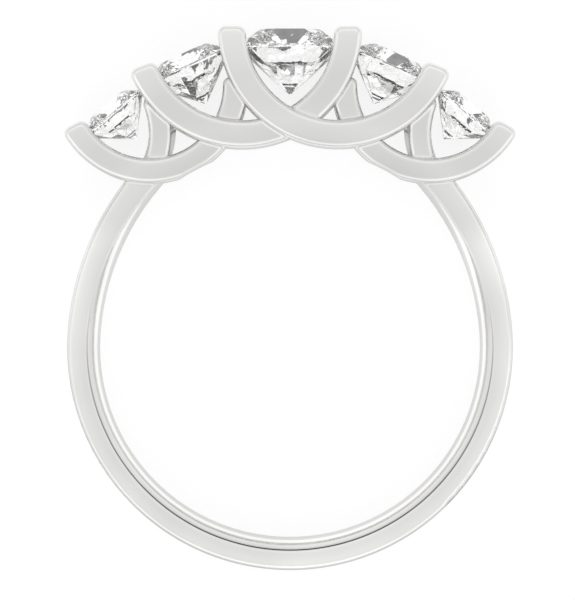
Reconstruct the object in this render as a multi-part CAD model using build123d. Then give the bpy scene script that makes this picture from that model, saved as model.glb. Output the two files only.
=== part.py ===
from build123d import *
import os
from math import asin, atan, atan2, cos, degrees, hypot, pi, radians, sin, sqrt, tan

# A white metal ring with five cushion cut stones in a woven setting of circular strips.
# Lengths are in millimetres and angles in degrees. While it is worked out, the ring stands in the
# plane of X and Y: the finger axis is Z, and the centre stone is on +Y. At the end it is laid on
# its side, on its back prongs and the foot of its shank, as it rests on a table.

# Shank
finger_radius = 8.65
bulge_rise = 0.62
shank_wall = 0.84
shank_half_depth = 1.15
land_half_width = 0.15
shank_edge_radius = 0.2

# Shoulders: from their start up, the shank follows circles that are larger by these gains
shoulder_start = 86.0
shoulder_crest_gain = 2.9
shoulder_outer_gain = 2.55
shoulder_bulge_rise = 0.2
shank_top_angle = 35.0
shoulder_spans = 4

# Stones
centre_width = 4.69
inner_width = 3.95
outer_width = 3.25
inner_tilt = 24.6
outer_tilt = 40.5
stone_gap = 0.44
girdle_lift = 4.99
seat_clearance = 0.03

# Cut of a stone, as shares of its width
table_share = 0.57
crown_share = 0.155
girdle_share = 0.03
pavilion_share = 0.45
side_arc_share = 1.5
corner_arc_share = 0.2

# How far the small facets steepen on the large ones, as a factor on their height at the axis
lower_half_factor = 1.04
upper_half_factor = 1.14
star_edge_share = 0.92
star_depth_share = 0.5

# Woven strips
main_strip_width = 1.25
side_strip_width = 1.14
fork_width = 1.0
strip_thickness = 1.2
main_strip_dip = 0.08
side_strip_dip = 0.24
setting_inner_drop = 0.11
strip_inset = 0.29
end_outset = 0.23
prong_cover = 0.2
side_low_lift = 0.23
side_hidden_lift = 0.9
under_low_lift = 0.7
over_low_lift = 0.93
fork_foot_sink = 0.2
fork_top_lift = 0.68
prong_rise = 0.92
end_prong_rise = 0.8
hidden_drop = 1.35
prong_corner_radius = 0.34
strip_edge_radius = 0.2
strip_back_edge_radius = 0.25
fork_start_angle = 45.0
fork_start_lift = 1.25
fork_side_lean = 4.0
fork_draft = 4.0
fork_end_drop = 0.55
fork_foot_run = 0.15
cross_bar_radius = 0.5
cross_bar_sink = 0.1

# Sizes that follow from these
face_inner_radius = finger_radius + bulge_rise
shank_outer_radius = face_inner_radius + shank_wall
girdle_height = finger_radius + girdle_lift


def polar(radius, angle):
    """The point at an angle from +Y, with +X on the positive side."""
    return Vector(radius * sin(radians(angle)), radius * cos(radians(angle)), 0)


def along(angle):
    """The unit step to the right along a row that falls by this angle."""
    return Vector(cos(radians(angle)), -sin(radians(angle)), 0)


def mirrored(point):
    """The same point on the other side of the head."""
    return Vector(-point.X, point.Y, point.Z)


def half_turn(shape):
    """What lies at the front, turned about the head axis to the back."""
    return Rot(0, 180, 0) * shape


# The row of girdles, from the centre stone to the right


def girdle_row():
    """Centre, tilt and width of each stone on the right, with the gaps between the girdles."""
    end = Vector(centre_width / 2, girdle_height, 0)
    last_tilt = 0.0
    stones = []
    stations = []
    for width, tilt in ((inner_width, inner_tilt), (outer_width, outer_tilt)):
        near = end + along((last_tilt + tilt) / 2) * stone_gap
        stations.append((end + near) * 0.5)
        stones.append((near + along(tilt) * (width / 2), tilt, width))
        end = near + along(tilt) * width
        last_tilt = tilt
    stations.append(end)
    return stones, stations


right_stones, (inner_station, outer_station, end_station) = girdle_row()


# Stones


class Cushion:
    """The outline of a cushion cut: four bulging sides joined by four round corners."""

    def __init__(self, width, grow=0.0):
        self.half = width / 2 + grow
        self.side = side_arc_share * width + grow
        self.corner = corner_arc_share * width + grow
        self.side_centre = self.half - self.side
        reach = self.side - self.corner
        self.corner_centre = (self.side_centre + sqrt(2 * reach**2 - self.side_centre**2)) / 2
        self.side_limit = atan2(self.corner_centre, self.corner_centre - self.side_centre)

    def support(self, azimuth):
        """How far the outline reaches in a direction."""
        turn = radians(azimuth % 90)
        off_side = min(turn, pi / 2 - turn)
        if off_side <= self.side_limit:
            return self.side_centre * cos(off_side) + self.side
        return self.corner_centre * (cos(turn) + sin(turn)) + self.corner

    def face(self):
        limit = self.side_limit
        tangent = (self.side * sin(limit), self.side_centre + self.side * cos(limit))
        low = (-tangent[0], tangent[1])
        middle = self.corner_centre + self.corner * sqrt(0.5)
        top = ThreePointArc(low, (0, self.half), tangent)
        corner = ThreePointArc(tangent, (middle, middle), (tangent[1], tangent[0]))
        quarter = [top.edge(), corner.edge()]
        edges = [e.rotate(Axis.Z, -90 * k) for k in range(4) for e in quarter]
        return make_face(Wire(edges))


def facet_plane(azimuth, low, high):
    """The plane of a facet that faces an azimuth, through two (radius, height) points."""
    outward = Vector(cos(radians(azimuth)), sin(radians(azimuth)), 0)
    radius_step = high[0] - low[0]
    height_step = high[1] - low[1]
    length = hypot(radius_step, height_step)
    normal = outward * (height_step / length) + Vector(0, 0, -radius_step / length)
    return Plane(outward * low[0] + Vector(0, 0, low[1]), z_dir=normal)


def cut_to(solid, plane):
    """What is left of a convex solid behind a plane."""
    return split(solid, bisect_by=plane, keep=Keep.BOTTOM)


def cushion_stone(width, grow=0.0, fine=True):
    """A cushion brilliant with its axis on Z and the middle of its girdle at the origin.

    The seat that it sits in is the same stone, grown by the clearance, with the large facets only.
    """
    outline = Cushion(width, grow)
    girdle = girdle_share * width / 2
    table = girdle + crown_share * width
    culet = girdle + pavilion_share * width
    table_drop = crown_share * width / (1 - table_share)
    solid = extrude(Pos(0, 0, -culet - grow) * outline.face(), culet + table + 2 * grow)
    side = outline.support(0)
    corner = outline.support(45)
    ridge = degrees(atan((corner / side - sqrt(0.5)) / sqrt(0.5)))
    planes = []
    for azimuth in range(0, 360, 45):
        reach = outline.support(azimuth)
        planes.append(facet_plane(azimuth, (0, -culet - grow), (reach, -girdle)))
        planes.append(facet_plane(azimuth, (reach, girdle), (0, girdle + grow + table_drop)))
    if fine:
        for step in range(16):
            azimuth = 360 / 16 * (step + 0.5)
            reach = outline.support(azimuth)
            depth = girdle + (culet - girdle) * lower_half_factor
            planes.append(facet_plane(azimuth, (0, -depth), (reach, -girdle)))
            height = girdle + table_drop * upper_half_factor
            planes.append(facet_plane(azimuth, (reach, girdle), (0, height)))
        table_corner = table_share * side / cos(radians(ridge))
        girdle_corner = side / cos(radians(ridge))
        star_height = girdle + (table - girdle) * (1 - star_depth_share)
        star_reach = table_corner + (girdle_corner - table_corner) * star_depth_share
        for quarter in range(0, 360, 90):
            for azimuth in (quarter + ridge, quarter - ridge):
                low = (star_reach, star_height)
                planes.append(facet_plane(azimuth, low, (table_corner * star_edge_share, table)))
    for plane in planes:
        solid = cut_to(solid, plane)
    return solid


def place_stone(solid, centre, tilt):
    """Sets a stone on its seat, its table facing away from the finger."""
    table_way = Vector(sin(radians(tilt)), cos(radians(tilt)), 0)
    return Plane(origin=centre, x_dir=along(tilt), z_dir=table_way).location * solid


top_centre = Vector(0, girdle_height, 0)
stones = {"stone_centre": place_stone(cushion_stone(centre_width), top_centre, 0)}
seats = [place_stone(cushion_stone(centre_width, seat_clearance, fine=False), top_centre, 0)]
for place, (centre, tilt, width) in zip(("inner", "outer"), right_stones):
    stone = cushion_stone(width)
    seat = cushion_stone(width, seat_clearance, fine=False)
    for side, middle, turn in (("right", centre, tilt), ("left", mirrored(centre), -tilt)):
        stones[f"stone_{place}_{side}"] = place_stone(stone, middle, turn)
        seats.append(place_stone(seat, middle, turn))


# Woven strips


def circle_through(first, second, third):
    """Centre and radius of the circle through three points."""
    a = second - first
    b = third - first
    across = 2 * (a.X * b.Y - a.Y * b.X)
    a_square = a.X**2 + a.Y**2
    b_square = b.X**2 + b.Y**2
    x = (b.Y * a_square - a.Y * b_square) / across
    y = (a.X * b_square - b.X * a_square) / across
    return first + Vector(x, y, 0), hypot(x, y)


def angle_from(centre, point):
    """The angle of a point about a centre, from +X and anticlockwise."""
    return degrees(atan2(point.Y - centre.Y, point.X - centre.X))


def on_circle(centre, radius, angle):
    return centre + Vector(radius * cos(radians(angle)), radius * sin(radians(angle)), 0)


def strip_face(centre, radius, width, start, stop):
    """A flat ring sector from one angle to another, with rounded corners."""
    inner = radius - width / 2
    outer = radius + width / 2
    middle = (start + stop) / 2
    corners = [
        on_circle(centre, outer, start),
        on_circle(centre, outer, stop),
        on_circle(centre, inner, stop),
        on_circle(centre, inner, start),
    ]
    edges = [
        ThreePointArc(corners[0], on_circle(centre, outer, middle), corners[1]).edge(),
        Line(corners[1], corners[2]).edge(),
        ThreePointArc(corners[2], on_circle(centre, inner, middle), corners[3]).edge(),
        Line(corners[3], corners[0]).edge(),
    ]
    sector = make_face(Wire(edges))
    return fillet(sector.vertices(), prong_corner_radius)


def flat_face(solid, way):
    """The flat face of a strip that looks a given way."""
    flat = solid.faces().filter_by(GeomType.PLANE)
    return max(flat, key=lambda face: face.normal_at().dot(way) * face.area)


def at_depth(point, depth):
    return Vector(point.X, point.Y, depth)


def leaning_plane(first, second, third):
    """The plane through three points, facing the front, with its own X to the right."""
    normal = (second - first).cross(third - first)
    if normal.Z < 0:
        normal = normal * -1
    return Plane(origin=second, x_dir=(1, 0, -normal.X / normal.Z), z_dir=normal)


def onto(plane, point):
    """Where the line through a point along the finger axis meets a leaning plane."""
    step = point - plane.origin
    way = plane.z_dir
    return at_depth(point, plane.origin.Z - (way.X * step.X + way.Y * step.Y) / way.Z)


def strip(plane, points, width, rises, thickness, back, draft=0):
    """A strip behind its leaning front face, which its draft makes wider towards the back.

    Its middle line is the circle through three points, and goes on past the first and the last by
    the rises. Its walls run along the step to the back, and its front edges are soft.
    """
    first, between, last = (plane.to_local_coords(onto(plane, point)) for point in points)
    centre, radius = circle_through(first, between, last)
    start = angle_from(centre, first) % 360
    stop = angle_from(centre, last) % 360
    if stop < start:
        stop += 360
    start -= degrees(rises[0] / radius)
    stop += degrees(rises[1] / radius)
    outline = plane.location * strip_face(centre, radius, width, start, stop)
    solid = extrude(outline, thickness, dir=back, taper=-draft).solid()
    solid = fillet(flat_face(solid, plane.z_dir).edges(), strip_edge_radius)
    return solid, at_depth(plane.from_local_coords(centre), 0), radius


def arch(first, last, low_radius, width, rises, depths):
    """A strip through two stations, lowest midway between them.

    depths are those of its front face at the first station, the lowest point and the last station,
    from the middle of the ring.
    """
    turns = [degrees(atan2(point.X, point.Y)) for point in (first, last)]
    points = (first, polar(low_radius, sum(turns) / 2), last)
    plane = leaning_plane(*(at_depth(point, depth) for point, depth in zip(points, depths)))
    solid, centre, radius = strip(plane, points, width, rises, strip_thickness, (0, 0, -1))
    solid = fillet(flat_face(solid, plane.z_dir * -1).edges(), strip_back_edge_radius)
    return solid, centre, radius


main_low_radius = face_inner_radius + main_strip_width / 2 - main_strip_dip
side_low_radius = face_inner_radius + side_strip_width / 2 - side_strip_dip
centre_depth = centre_width / 2 + prong_cover
inner_depth = inner_width / 2 + prong_cover
outer_depth = outer_width / 2 + prong_cover
side_low_depth = shank_half_depth + side_low_lift
side_hidden_depth = shank_half_depth + side_hidden_lift
under_low_depth = shank_half_depth + under_low_lift
over_low_depth = shank_half_depth + over_low_lift
fork_top_depth = shank_half_depth + fork_top_lift


def main_arch(low_depth):
    """From the prong left of the centre stone to the prong beyond the next stone on the right."""
    last = outer_station - along(inner_tilt) * strip_inset
    return arch(
        mirrored(inner_station),
        last,
        main_low_radius,
        main_strip_width,
        (prong_rise, prong_rise),
        (centre_depth, low_depth, inner_depth),
    )


def side_arch():
    """From behind the prong right of the centre stone to the end prong on the right."""
    first = inner_station + along(inner_tilt / 2) * strip_inset
    last = end_station + along(outer_tilt) * end_outset
    return arch(
        first,
        last,
        side_low_radius,
        side_strip_width,
        (-hidden_drop, end_prong_rise),
        (side_hidden_depth, side_low_depth, outer_depth),
    )


over_arch, main_centre, main_radius = main_arch(over_low_depth)
under_arch = mirror(main_arch(under_low_depth)[0], Plane.YZ)
right_arch, side_centre, side_radius = side_arch()
left_arch = mirror(right_arch, Plane.YZ)


fork_start = polar(finger_radius + fork_start_lift, fork_start_angle)


def fork_circle():
    """The circle that leaves the shank's middle line smoothly and meets the outer station."""
    outward = polar(1, fork_start_angle)
    step = outer_station - fork_start
    radius = step.length**2 / (2 * step.dot(outward))
    return fork_start + outward * radius, radius


fork_centre, fork_radius = fork_circle()


def fork():
    """The shank's end on the right, which runs on between the two stones as a wedge."""
    foot = at_depth(fork_start, shank_half_depth - fork_foot_sink)
    top = at_depth(outer_station, fork_top_depth)
    outside = foot + Vector(1, 0, -tan(radians(fork_side_lean)))
    plane = leaning_plane(outside, foot, top)
    turns = [angle_from(fork_centre, point) % 360 for point in (outer_station, fork_start)]
    points = (outer_station, on_circle(fork_centre, fork_radius, sum(turns) / 2), fork_start)
    rises = (-fork_end_drop, fork_foot_run)
    back = plane.z_dir * -1
    solid = strip(plane, points, fork_width, rises, 2 * fork_top_depth, back, fork_draft)[0]
    size = 4 * shank_outer_radius
    half = Box(size, size, size, align=(Align.CENTER, Align.CENTER, Align.MIN))
    return (solid & half).solid()


right_fork = fork()
left_fork = mirror(right_fork, Plane.YZ)
front_strips = [over_arch, under_arch, right_arch, left_arch, right_fork, left_fork]


# Cross bars between the front and back strips, hidden where two strips cross


def cross_bar(point):
    """A round bar through a crossing, from the front strips to the back ones."""
    length = 2 * (side_low_depth - strip_edge_radius - cross_bar_sink)
    return Pos(point.X, point.Y, 0) * Cylinder(cross_bar_radius, length)


def crossing(first, first_radius, second, second_radius):
    """The lower point where two circles cross."""
    between = second - first
    distance = between.length
    share = (first_radius**2 - second_radius**2 + distance**2) / (2 * distance)
    rise = sqrt(first_radius**2 - share**2)
    step = between.normalized()
    sides = [Vector(-step.Y, step.X, 0) * rise, Vector(step.Y, -step.X, 0) * rise]
    return min((first + step * share + side for side in sides), key=lambda point: point.Y)


top_crossing = crossing(main_centre, main_radius, mirrored(main_centre), main_radius)
side_crossing = crossing(main_centre, main_radius, side_centre, side_radius)
bars = [cross_bar(top_crossing), cross_bar(side_crossing), cross_bar(mirrored(side_crossing))]


# Shank


def on_shoulder(radius, gain, angle):
    """How far a line along the shank is from the ring's centre, at an angle from the head."""
    turn = radians(max(0, shoulder_start - angle))
    return sqrt((radius + gain) ** 2 - (gain * sin(turn)) ** 2) - gain * cos(turn)


def shank_section(angle):
    """The shank's cross section: flat at the sides, rounded inside, with soft edges outside."""
    climb = max(0, shoulder_start - angle) / (shoulder_start - shank_top_angle)
    rise = bulge_rise + (shoulder_bulge_rise - bulge_rise) * climb
    crest = on_shoulder(finger_radius, shoulder_crest_gain, angle)
    outer = on_shoulder(shank_outer_radius, shoulder_outer_gain, angle)

    # The rounded inside: a narrow land at the crest, with an arc on each side up to the flat face
    run = shank_half_depth - land_half_width
    bulge_radius = (rise**2 + run**2) / (2 * rise)
    half_way = asin(run / bulge_radius) / 2
    arc_crest = crest + bulge_radius * (1 - cos(half_way))
    arc_depth = land_half_width + bulge_radius * sin(half_way)
    edge_depth = shank_half_depth - shank_edge_radius
    edge_middle = shank_edge_radius * (1 - sqrt(0.5))

    def half(side):
        face = side * shank_half_depth
        bulge = ThreePointArc(
            (crest, side * land_half_width), (arc_crest, side * arc_depth), (crest + rise, face)
        )
        flat = Line((crest + rise, face), (outer - shank_edge_radius, face))
        edge = ThreePointArc(
            (outer - shank_edge_radius, face),
            (outer - edge_middle, side * (shank_half_depth - edge_middle)),
            (outer, side * edge_depth),
        )
        return [bulge.edge(), flat.edge(), edge.edge()]

    land = Line((crest, -land_half_width), (crest, land_half_width)).edge()
    wall = Line((outer, edge_depth), (outer, -edge_depth)).edge()
    outline = make_face(Wire([land, *half(1), wall, *reversed(half(-1))]))
    return Plane(origin=(0, 0, 0), x_dir=polar(1, angle), z_dir=along(angle)).location * outline


def shank():
    """The round lower part and the shoulders, which get thicker towards the head."""
    start = shank_section(shoulder_start)
    lower = revolve(start, Axis.Z, 2 * shoulder_start - 360)
    step = (shank_top_angle - shoulder_start) / shoulder_spans
    turns = [shoulder_start + step * span for span in range(shoulder_spans + 1)]
    shoulder = loft([shank_section(turn) for turn in turns])
    whole = lower.fuse(shoulder, mirror(shoulder, Plane.YZ))

    # Each top end stops behind a side arch, just short of its upper edge
    hollow = Circle(side_radius - side_strip_width / 2 + strip_edge_radius)
    hollow = extrude(hollow, 2 * shank_half_depth, both=True)
    hollow = Pos(side_centre.X, side_centre.Y) * hollow
    return whole - hollow - mirror(hollow, Plane.YZ)


# One solid of metal, with seats for the stones

strips = front_strips + [half_turn(piece) for piece in front_strips]
setting = strips[0].fuse(*strips[1:], *bars)
hole_radius = face_inner_radius - setting_inner_drop
setting = setting - Cylinder(hole_radius, 4 * over_low_depth)
metal = (setting + shank()) - seats

# Laying the ring on its side, on its back prongs and the foot of its shank

prong_top = on_circle(main_centre, main_radius, 180).Y
drop = centre_depth - shank_half_depth
rest_tilt = degrees(atan(drop / (prong_top + shank_outer_radius)))
tilted = Rot(rest_tilt, 0, 0) * metal
box = tilted.bounding_box()
middle = box.center()
lay_down = Pos(-middle.X, -middle.Y, -box.min.Z) * Rot(rest_tilt, 0, 0)

os.makedirs("parts", exist_ok=True)
export_step(lay_down * metal, "parts/shank_and_setting.step")
for name, stone in stones.items():
    export_step(lay_down * stone, f"parts/{name}.step")

print("solids", len(metal.solids()), "metal volume", round(metal.volume, 2))
print("stone volume", round(sum(stone.volume for stone in stones.values()), 2))
print("rest tilt", round(rest_tilt, 3), "box", box.size)
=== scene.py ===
import math

import bpy
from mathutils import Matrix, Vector

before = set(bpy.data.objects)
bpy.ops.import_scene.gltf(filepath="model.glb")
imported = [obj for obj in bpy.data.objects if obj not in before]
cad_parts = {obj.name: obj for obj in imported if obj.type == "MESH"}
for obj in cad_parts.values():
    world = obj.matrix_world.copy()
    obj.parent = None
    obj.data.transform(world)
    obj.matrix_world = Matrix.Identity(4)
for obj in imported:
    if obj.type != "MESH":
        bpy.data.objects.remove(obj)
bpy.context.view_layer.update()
scene = bpy.context.scene

# The ring lies on its side. Its finger hole's axis leans a little from the vertical, towards the
# foot, and the camera looks down along it. The view's aim, height and distance are in millimetres,
# and what the camera clips is in metres.

MM = 0.001
REST_TILT = math.radians(3.249)
RING_CENTRE = Vector((0, -2.236, 1.851)) * MM
AXIS = Vector((0, -math.sin(REST_TILT), math.cos(REST_TILT)))
UP_IN_VIEW = Vector((0, math.cos(REST_TILT), math.sin(REST_TILT)))
VIEW_AIM = (-0.114, 2.14)
VIEW_HEIGHT = 27.32
CAMERA_DISTANCE = 250.0
SENSOR = 36.0
CLIP_START = 0.01
CLIP_END = 10.0

# Metal. Distances are from the finger hole's axis, and heights are above the ring's centre, in the
# ring's own plane. FLATTEN squeezes what lies along the axis until it no longer counts. A tone is a
# list of (place, grey) pairs, with place 0 at the start of its reach and place 1 at the end.

WARM = (0.995, 0.98)
WHITE = (1, 1, 1, 1)
FLATTEN = 1000
# Painted shade: the metal is darker towards the finger hole and lighter outwards, on the shank and
# on the setting.
PAINTED_SHADE_REACH = (9.2 * MM, 15.2 * MM)
SHANK_PAINTED_SHADE = [(0.0, 0.8), (0.1, 0.9), (0.18, 1.0)]
SETTING_PAINTED_SHADE = [(0.0, 0.76), (0.1, 0.82), (0.2, 0.86), (0.35, 0.82), (0.55, 0.82), (0.85, 0.92)]
SETTING_HEIGHT = (4.5 * MM, 6.0 * MM)
UNEVEN = 0.22
# Painted shade along the shank: a dark line in its inner crease and a dimmer outer rim.
EDGE_REACH = (9.0 * MM, 10.2 * MM)
EDGE_PAINTED_SHADE = [(0.14, 1.0), (0.152, 0.03), (0.18, 0.03), (0.194, 1.0), (0.8, 1.0), (0.9, 0.72)]
EDGE_FADE_HEIGHT = (-9.5 * MM, 4.0 * MM)

# Creases get painted shade by how open a spot is, and the gloss is a list of (wear, roughness)
# pairs.

CREASE_REACH = 0.24 * MM
CREASE_PAINTED_SHADE = [(0.15, 0.3), (0.62, 1.0)]
GLOSS = [(0.3, 0.06), (0.75, 0.12)]
CROWN_RADIUS = 0.24 * MM
SWELL_STRENGTH = 0.15
SWELL_DEPTH = 0.1 * MM
SWELL = {"Scale": 260.0, "Detail": 1.0, "Roughness": 0.4}
WEAR = {"Scale": 9000.0, "Detail": 3.0, "Roughness": 0.6}

# Stone. Each cell is a small facet that leans by its own colour, less the middle of all colours.

STONE_IOR = 2.42
CELLS = {"Scale": 1700.0, "Randomness": 1.0}
CELL_MIDDLE = (0.5, 0.5, 0.5)
CELL_LEAN = 0.025
CELL_LINE = [(0.0, 0.65), (0.025, 1.0)]
CLOUD = {"Scale": 900.0, "Detail": 2.0}
CLOUD_TONE = [(0.3, 0.985), (0.7, 1.0)]
FACET_ANGLE = math.radians(0.4)

# Floor. What the metal mirrors of it depends on the distance from the ring's centre. What shows
# through the stones is in patches.

FLOOR_SIZE = 2.0
FLOOR_COLOUR = (0.2, 0.2, 0.2, 1)
FLOOR_ROUGHNESS = 0.9
FLOOR_GLOW = 0.84
FLOOR_REACH = (0.0, 20 * MM)
FLOOR_IN_METAL = [
    (0.0, 1.1),
    (0.22, 1.3),
    (0.29, 0.86),
    (0.4, 0.76),
    (0.5, 0.6),
    (0.75, 0.6),
    (0.95, 0.9),
]
FLOOR_PATCHES = {"Scale": 900.0, "Randomness": 1.0}
FLOOR_IN_STONE = [(0.29, 0.02), (0.31, 1.3)]

# Studio. BEYOND is the side past the stones, BEFORE the side past the foot, and THROUGH what shows
# through the stones. Each is a list of (degrees from straight up, grey) pairs.

BEYOND = [
    (0, 0.88),
    (10, 0.93),
    (25, 1.0),
    (44, 0.95),
    (50, 0.45),
    (60, 0.45),
    (66, 0.9),
    (84, 1.0),
    (90, 0.5),
    (100, 0.4),
]
BEFORE = [
    (0, 0.88),
    (10, 0.85),
    (26, 0.78),
    (36, 0.95),
    (44, 1.22),
    (62, 1.22),
    (74, 0.75),
    (100, 0.65),
]
THROUGH = [(0, 0.0), (26, 0.0), (31, 1.3), (60, 1.3), (62, 0.0), (74, 0.0), (76, 1.4)]
HEADING_REACH = (-0.9, 0.6)
STUDIO_PATCHES = {"Scale": 2.4, "Randomness": 1.0}
STUDIO_SPOTS = [(0.38, 0.0), (0.4, 1.0)]
ALL_BOUNCES = 24
MIRROR_BOUNCES = 16
GLASS_BOUNCES = 16


# Node helpers


def add(tree, kind, **values):
    """A node with its sockets and settings set by name."""
    node = tree.nodes.new(kind)
    for key, value in values.items():
        if hasattr(node, key):
            setattr(node, key, value)
        else:
            node.inputs[key.replace("_", " ")].default_value = value
    return node


def feed(tree, socket, value):
    """Links a node's output into a socket, or sets the socket to a plain value."""
    if isinstance(value, bpy.types.NodeSocket):
        tree.links.new(value, socket)
    else:
        socket.default_value = value


def new_material(name):
    """A material, its empty node tree and the socket that takes its surface."""
    material = bpy.data.materials.new(name)
    material.use_nodes = True
    tree = material.node_tree
    tree.nodes.clear()
    return material, tree, add(tree, "ShaderNodeOutputMaterial").inputs["Surface"]


def laid_out(tree, kind, place, output, **values):
    """One output of a node that works on a place, such as a pattern."""
    node = add(tree, kind, **values)
    feed(tree, node.inputs["Vector"], place)
    return node.outputs[output]


def calculate(tree, operation, *operands):
    """A math node on sockets or numbers."""
    node = add(tree, "ShaderNodeMath", operation=operation)
    for socket, value in zip(node.inputs, operands):
        feed(tree, socket, value)
    return node.outputs["Value"]


def vector(tree, operation, *operands, output="Vector", **values):
    """A vector math node on sockets or plain vectors."""
    node = add(tree, "ShaderNodeVectorMath", operation=operation, **values)
    for socket, value in zip(node.inputs, operands):
        feed(tree, socket, value)
    return node.outputs[output]


def spread(tree, value, reach, interpolation="LINEAR"):
    """How far a value has come from the start of its reach to the end, from 0 to 1."""
    node = add(tree, "ShaderNodeMapRange", interpolation_type=interpolation)
    for name, part in zip(("Value", "From Min", "From Max"), (value, *reach)):
        feed(tree, node.inputs[name], part)
    return node.outputs["Result"]


def ramp(tree, factor, stops, tint=(1, 1)):
    """A colour ramp over (place, grey) pairs, with a tint as the shares of green and blue."""
    node = add(tree, "ShaderNodeValToRGB")
    elements = node.color_ramp.elements
    while len(elements) < len(stops):
        elements.new(0.5)
    for element, (place, grey) in zip(elements, stops):
        element.position = place
        element.color = (grey, grey * tint[0], grey * tint[1], 1)
    feed(tree, node.inputs["Fac"], factor)
    return node.outputs["Color"]


def angle_ramp(tree, angle, stops):
    """A ramp over (degrees, grey) pairs, from an angle that is given as a share of 180 degrees."""
    return ramp(tree, angle, [(degrees / 180, grey) for degrees, grey in stops])


def mix(tree, factor, first, second, blend="MIX"):
    """A mix of two colours, each of them a socket or a plain colour."""
    node = add(tree, "ShaderNodeMix", data_type="RGBA", blend_type=blend)
    for name, value in zip(("Factor", "A", "B"), (factor, first, second)):
        feed(tree, node.inputs[name], value)
    return node.outputs["Result"]


def multiply(tree, first, second):
    """One colour times another."""
    return mix(tree, 1.0, first, second, "MULTIPLY")


# Polished white metal, with the soft unevenness of hand polishing, very fine wear, and painted
# shade towards the finger hole, along the shank's edges and in creases


def white_metal():
    material, tree, surface = new_material("white_metal")
    link = tree.links.new
    shader = add(tree, "ShaderNodeBsdfPrincipled", Metallic=1.0)
    place = add(tree, "ShaderNodeTexCoord").outputs["Object"]
    swell = laid_out(tree, "ShaderNodeTexNoise", place, "Fac", **SWELL)
    wear = laid_out(tree, "ShaderNodeTexNoise", place, "Fac", **WEAR)
    flat = laid_out(
        tree,
        "ShaderNodeMapping",
        place,
        "Vector",
        vector_type="TEXTURE",
        Location=RING_CENTRE,
        Rotation=(REST_TILT, 0, 0),
        Scale=(1, 1, FLATTEN),
    )
    distance = vector(tree, "LENGTH", flat, output="Value")
    height = laid_out(tree, "ShaderNodeSeparateXYZ", flat, "Y")

    # The tone of the shank and of the setting: painted shade, darker towards the finger hole and
    # lighter outwards, with soft random unevenness
    uneven = calculate(tree, "MULTIPLY_ADD", swell, UNEVEN, -UNEVEN / 2)
    outward = calculate(tree, "ADD", spread(tree, distance, PAINTED_SHADE_REACH), uneven)
    on_setting = spread(tree, height, SETTING_HEIGHT, "SMOOTHSTEP")
    shank_painted_shade = ramp(tree, outward, SHANK_PAINTED_SHADE, WARM)
    setting_painted_shade = ramp(tree, outward, SETTING_PAINTED_SHADE, WARM)
    tone_and_painted_shade = mix(tree, on_setting, shank_painted_shade, setting_painted_shade)

    # Painted shade: a fine dark line in the crease inside the shank and a dimmer outer rim, which
    # fade towards the setting
    edge_painted_shade = ramp(tree, spread(tree, distance, EDGE_REACH), EDGE_PAINTED_SHADE)
    faded_edge_shade = mix(tree, spread(tree, height, EDGE_FADE_HEIGHT), edge_painted_shade, WHITE)

    # Painted shade in creases and between parts, darker where a spot is less open
    crease = add(tree, "ShaderNodeAmbientOcclusion", samples=8, Distance=CREASE_REACH)
    crease_painted_shade = ramp(tree, crease.outputs["AO"], CREASE_PAINTED_SHADE)
    link(multiply(tree, multiply(tree, tone_and_painted_shade, faded_edge_shade), crease_painted_shade), shader.inputs["Base Color"])
    link(ramp(tree, wear, GLOSS), shader.inputs["Roughness"])

    crown = add(tree, "ShaderNodeBevel", samples=10, Radius=CROWN_RADIUS)
    bump = add(tree, "ShaderNodeBump", Strength=SWELL_STRENGTH, Distance=SWELL_DEPTH)
    link(crown.outputs["Normal"], bump.inputs["Normal"])
    link(swell, bump.inputs["Height"])
    link(bump.outputs["Normal"], shader.inputs["Normal"])
    link(shader.outputs["BSDF"], surface)
    return material


# Clear stone, with small facets that lean a little and fine lines between them


def clear_stone():
    material, tree, surface = new_material("clear_stone")
    link = tree.links.new
    shader = add(tree, "ShaderNodeBsdfPrincipled", IOR=STONE_IOR, Roughness=0.0)
    shader.inputs["Transmission Weight"].default_value = 1.0
    place = add(tree, "ShaderNodeTexCoord").outputs["Object"]

    cells = laid_out(tree, "ShaderNodeTexVoronoi", place, "Color", **CELLS)
    lean = vector(tree, "SCALE", vector(tree, "SUBTRACT", cells, CELL_MIDDLE), Scale=CELL_LEAN)
    face = add(tree, "ShaderNodeNewGeometry").outputs["Normal"]
    leaning = vector(tree, "NORMALIZE", vector(tree, "ADD", face, lean))
    link(leaning, shader.inputs["Normal"])

    cloud = laid_out(tree, "ShaderNodeTexNoise", place, "Fac", **CLOUD)
    from_line = laid_out(
        tree, "ShaderNodeTexVoronoi", place, "Distance", feature="DISTANCE_TO_EDGE", **CELLS
    )
    clear = multiply(tree, ramp(tree, cloud, CLOUD_TONE), ramp(tree, from_line, CELL_LINE))
    link(clear, shader.inputs["Base Color"])
    link(shader.outputs["BSDF"], surface)
    return material


def crisp_facets(piece):
    """Shades each facet flat, however small its angle to the next one."""
    split = piece.modifiers.new("facet_edges", "EDGE_SPLIT")
    split.split_angle = FACET_ANGLE
    flat = piece.modifiers.new("flat_facets", "WEIGHTED_NORMAL")
    flat.keep_sharp = False


metal = white_metal()
stone = clear_stone()
for name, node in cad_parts.items():
    node.data.materials.clear()
    if name.startswith("stone"):
        node.data.materials.append(stone)
        crisp_facets(node)
    else:
        node.data.materials.append(metal)


# Floor


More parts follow.
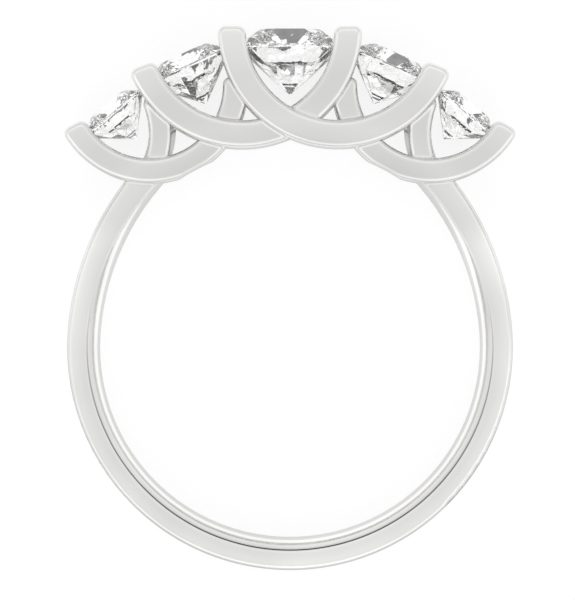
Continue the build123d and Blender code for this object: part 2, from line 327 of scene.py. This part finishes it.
def pale_floor():
    material, tree, surface = new_material("pale_floor")
    link = tree.links.new
    shader = add(tree, "ShaderNodeBsdfPrincipled", Roughness=FLOOR_ROUGHNESS)
    shader.inputs["Base Color"].default_value = FLOOR_COLOUR
    shader.inputs["Emission Strength"].default_value = FLOOR_GLOW
    ray = add(tree, "ShaderNodeLightPath")
    place = add(tree, "ShaderNodeTexCoord").outputs["Object"]
    distance = vector(tree, "LENGTH", place, output="Value")
    patches = laid_out(tree, "ShaderNodeTexVoronoi", place, "Color", **FLOOR_PATCHES)
    in_metal = ramp(tree, spread(tree, distance, FLOOR_REACH), FLOOR_IN_METAL)
    in_stone = ramp(tree, patches, FLOOR_IN_STONE)
    mirrored = mix(tree, ray.outputs["Is Glossy Ray"], WHITE, in_metal)
    seen = mix(tree, ray.outputs["Is Transmission Ray"], mirrored, in_stone)
    link(seen, shader.inputs["Emission Color"])
    link(shader.outputs["BSDF"], surface)
    return material


bpy.ops.mesh.primitive_plane_add(size=FLOOR_SIZE, location=(0, RING_CENTRE.y, 0))
floor = bpy.context.object
floor.name = "floor"
floor.data.materials.append(pale_floor())


# Soft studio light: bright walls all round, a calmer ceiling above the camera, a grey card beyond
# the stones, and bright and dark patches that show through the stones


def soft_studio():
    world = bpy.data.worlds.new("studio")
    world.use_nodes = True
    tree = world.node_tree
    tree.nodes.clear()
    place = add(tree, "ShaderNodeTexCoord").outputs["Generated"]
    split = add(tree, "ShaderNodeSeparateXYZ")
    feed(tree, split.inputs["Vector"], place)
    up = split.outputs["Z"]
    zenith = calculate(tree, "DIVIDE", calculate(tree, "ARCCOSINE", up), math.pi)

    # The light by height, and by side: from -1 at the foot's side to 1 at the stones' side
    squared = calculate(tree, "POWER", up, 2.0)
    level = calculate(tree, "SQRT", calculate(tree, "SUBTRACT", 1.0, squared))
    heading = calculate(tree, "DIVIDE", split.outputs["Y"], level)
    side = spread(tree, heading, HEADING_REACH, "SMOOTHSTEP")
    light = mix(tree, side, angle_ramp(tree, zenith, BEFORE), angle_ramp(tree, zenith, BEYOND))

    patches = laid_out(tree, "ShaderNodeTexVoronoi", place, "Color", **STUDIO_PATCHES)
    spots = ramp(tree, patches, STUDIO_SPOTS)
    inside = calculate(tree, "MULTIPLY", angle_ramp(tree, zenith, THROUGH), spots)
    through_stone = add(tree, "ShaderNodeLightPath").outputs["Is Transmission Ray"]
    background = add(tree, "ShaderNodeBackground", Strength=1.0)
    feed(tree, background.inputs["Color"], mix(tree, through_stone, light, inside))
    output = add(tree, "ShaderNodeOutputWorld")
    feed(tree, output.inputs["Surface"], background.outputs["Background"])
    return world


scene.world = soft_studio()
scene.cycles.max_bounces = ALL_BOUNCES
scene.cycles.glossy_bounces = MIRROR_BOUNCES
scene.cycles.transmission_bounces = GLASS_BOUNCES


# Camera

aim = RING_CENTRE + (Vector((VIEW_AIM[0], 0, 0)) + UP_IN_VIEW * VIEW_AIM[1]) * MM
camera_data = bpy.data.cameras.new("camera")
camera = bpy.data.objects.new("camera", camera_data)
scene.collection.objects.link(camera)
camera.location = aim + AXIS * CAMERA_DISTANCE * MM
camera.rotation_euler = (REST_TILT, 0, 0)
camera_data.sensor_width = SENSOR
camera_data.lens = SENSOR * CAMERA_DISTANCE / VIEW_HEIGHT
camera_data.clip_start = CLIP_START
camera_data.clip_end = CLIP_END
scene.camera = camera

scene.view_settings.view_transform = "Standard"
